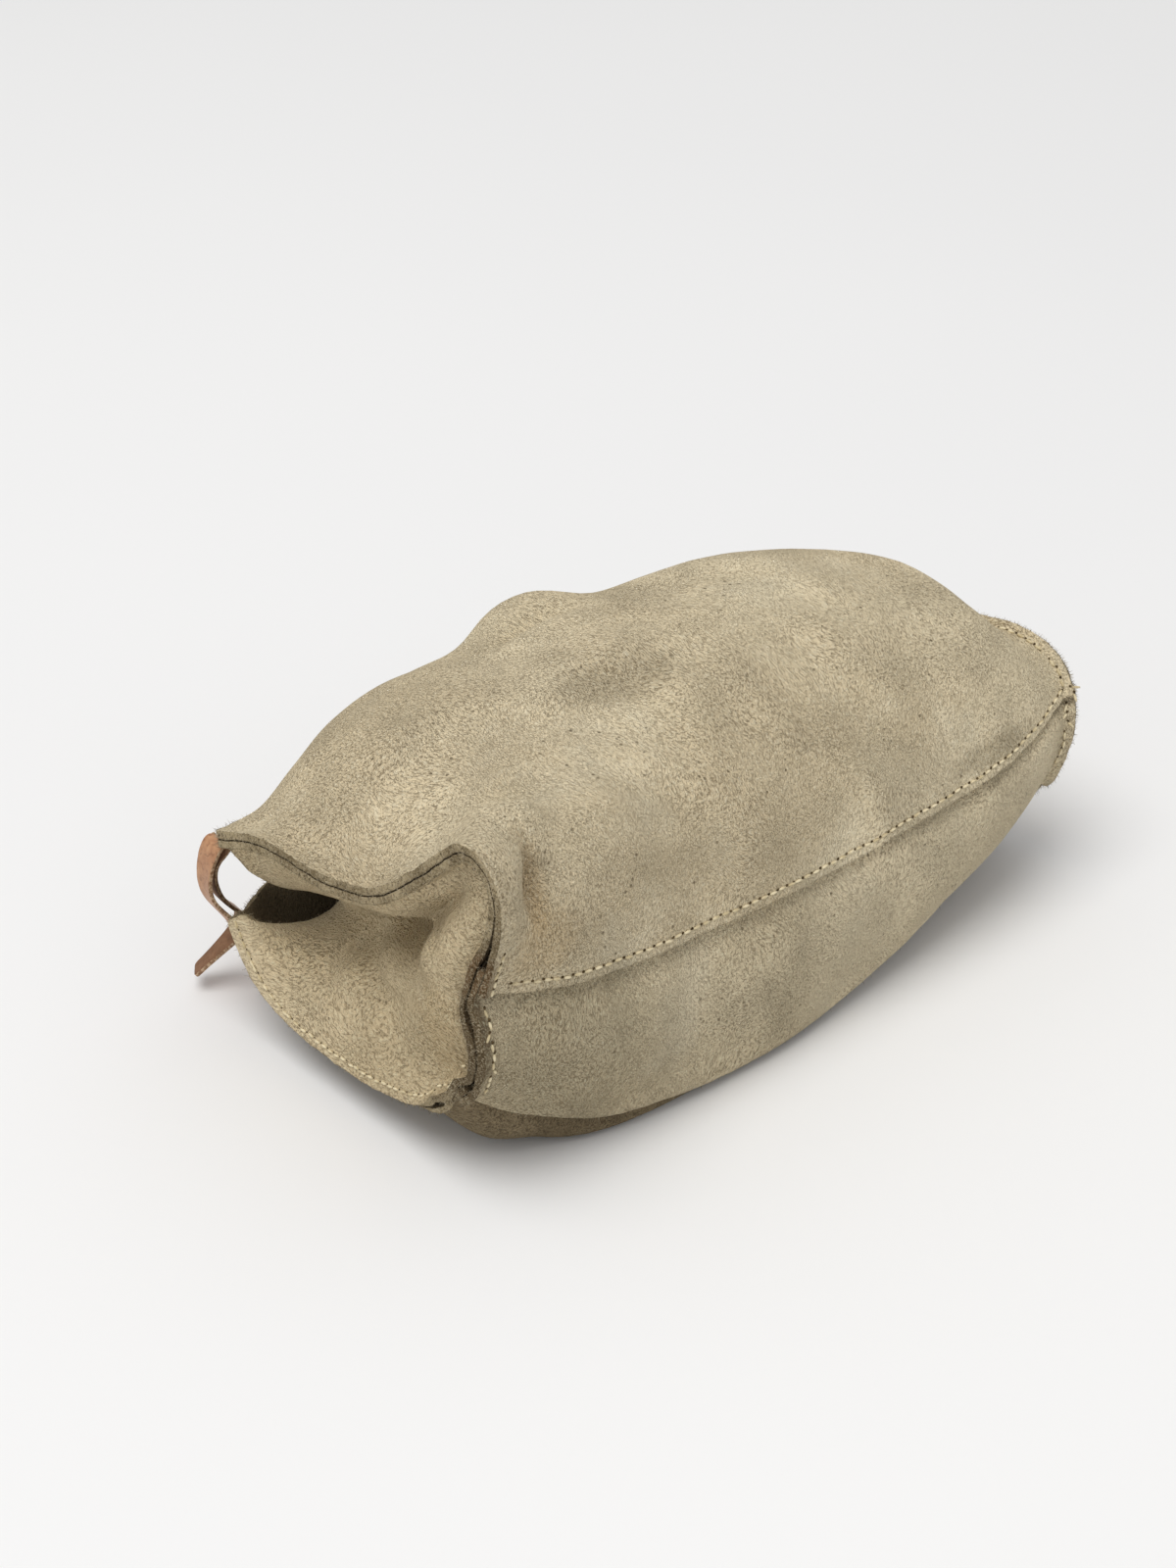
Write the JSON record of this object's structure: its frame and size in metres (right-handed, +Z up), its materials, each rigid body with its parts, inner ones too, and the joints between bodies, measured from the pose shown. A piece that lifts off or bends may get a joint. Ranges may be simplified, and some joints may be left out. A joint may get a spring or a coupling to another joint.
{
  "type": "handbag",
  "caption": "Soft suede handbag lying on its back panel, with folded gussets at both ends, lapped seams, an open mouth and a tan strap tied round the lips.",
  "frame": {"origin": "on the table, under the middle of the bag, on the flat underside of the back panel", "axes": "+Z up, +X along the bag from the near end to the far end, +Y towards the mouth"},
  "size_m": [0.2768, 0.1972, 0.1258],
  "materials": {
    "suede": "napped, matt, pale sand",
    "tan_leather": "smooth, satin, tan"
  },
  "bodies": {
    "root": {"front_panel": "suede", "base_panel": "suede", "back_panel": "suede", "near_gusset": "suede", "far_gusset": "suede", "carry_strap": "tan_leather"}
  },
  "joints": []
}
